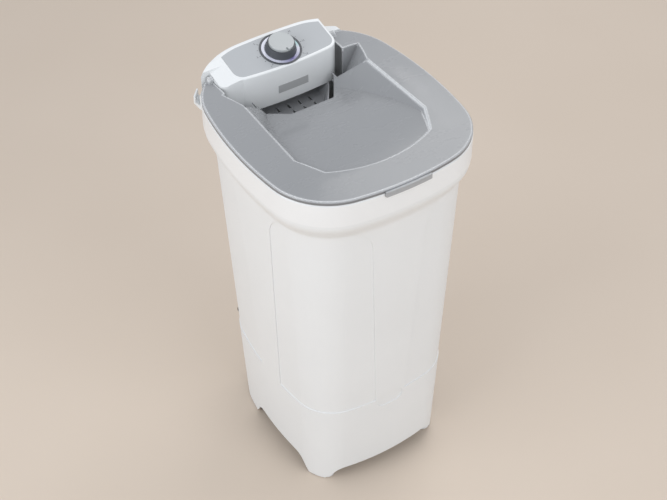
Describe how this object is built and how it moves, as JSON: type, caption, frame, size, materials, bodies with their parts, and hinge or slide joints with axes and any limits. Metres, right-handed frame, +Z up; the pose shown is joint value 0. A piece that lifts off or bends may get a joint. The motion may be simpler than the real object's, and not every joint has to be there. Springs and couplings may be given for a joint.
{
  "type": "semi-automatic washing machine",
  "caption": "Tapered plastic cabinet with an inner tub, a smoked hinged lid scooped around a rear console with a timer knob, and a belt driven agitator.",
  "frame": {"origin": "centre of the overall box's bottom face, on the floor under the machine", "axes": "+Z up, the front with the lid's lift tab faces -Y, +X to the right seen from the front"},
  "size_m": [0.4258, 0.496, 0.8473],
  "materials": {
    "white_plastic": "satin white moulded plastic",
    "rim_plastic": "glossier white moulded plastic",
    "smoked_plastic": "translucent smoked grey plastic",
    "grey_overlay": "matte printed plate",
    "label_grey": "matte plate, bare",
    "dark_plastic": "dark grey plastic",
    "pale_ring": "pale ring",
    "cap_grey": "pale grey plastic",
    "inner_plastic": "plain moulded plastic inside",
    "black_rubber": "black rubber",
    "steel": "bright steel",
    "zinc_steel": "zinc plated",
    "cast": "cast aluminium",
    "motor_paint": "black paint",
    "lamination": "laminated steel",
    "bronze": "sintered bronze"
  },
  "bodies": {
    "machine": {"cabinet": "white_plastic", "rubber_feet": "black_rubber", "tub": "rim_plastic", "bottom_cover": "inner_plastic", "cover_screws": "zinc_steel", "console_housing": "white_plastic", "console_base": "white_plastic", "console_screws": "zinc_steel", "panel_overlay": "grey_overlay", "label_plate": "label_grey", "dial_ring": "dark_plastic", "dial_inlay": "pale_ring", "timer_body": "white_plastic", "inlet_chute": "dark_plastic", "water_inlet": "white_plastic", "hinge_pins": "white_plastic", "hose_hook": "white_plastic", "bearing_housing": "cast", "shaft_bushes": "bronze", "shaft_seal": "black_rubber", "housing_screws": "zinc_steel", "drive_belt": "black_rubber", "motor_housing": "motor_paint", "stator": "lamination", "motor_bracket": "steel", "motor_bolts": "zinc_steel", "capacitor": "white_plastic", "capacitor_clip": "steel", "drain_grille": "white_plastic", "drain_elbow": "black_rubber", "cord_gland": "black_rubber"},
    "lid": {"lid": "smoked_plastic"},
    "timer_knob": {"knob_skirt": "dark_plastic", "knob_cap": "cap_grey", "timer_shaft": "steel"},
    "agitator": {"agitator": "white_plastic", "agitator_cap": "white_plastic", "agitator_screw": "zinc_steel", "agitator_shaft": "steel", "large_pulley": "dark_plastic", "pulley_nut": "zinc_steel"},
    "motor_rotor": {"motor_rotor": "lamination", "motor_shaft": "steel", "motor_pulley": "cast", "motor_fan": "dark_plastic"},
    "lint_filter": {"filter_frame": "white_plastic", "filter_screen": "white_plastic"}
  },
  "joints": [
    {"name": "lid_hinge", "type": "hinge", "parent": "machine", "child": "lid", "pos_m": [0, 0.197, 0.807], "axis": [-1, 0, 0], "range_deg": [0, 95]},
    {"name": "timer_turn", "type": "hinge", "parent": "machine", "child": "timer_knob", "pos_m": [0.004, 0.192, 0.82131], "axis": [0, 0.2164, -0.9763], "range_deg": [0, 330]},
    {"name": "agitator_spin", "type": "hinge", "parent": "machine", "child": "agitator", "pos_m": [0, -0.015, 0.15], "axis": [0, 0, 1], "continuous": true},
    {"name": "motor_spin", "type": "hinge", "parent": "machine", "child": "motor_rotor", "pos_m": [0, 0.112, 0.15], "axis": [0, 0, 1], "continuous": true},
    {"name": "filter_slide", "type": "slide", "parent": "machine", "child": "lint_filter", "axis": [0, 0, 1], "range_m": [0, 0.085]}
  ],
  "couplings": [
    {"joint": "motor_spin", "follows": "agitator_spin", "ratio": 5.1026}
  ]
}
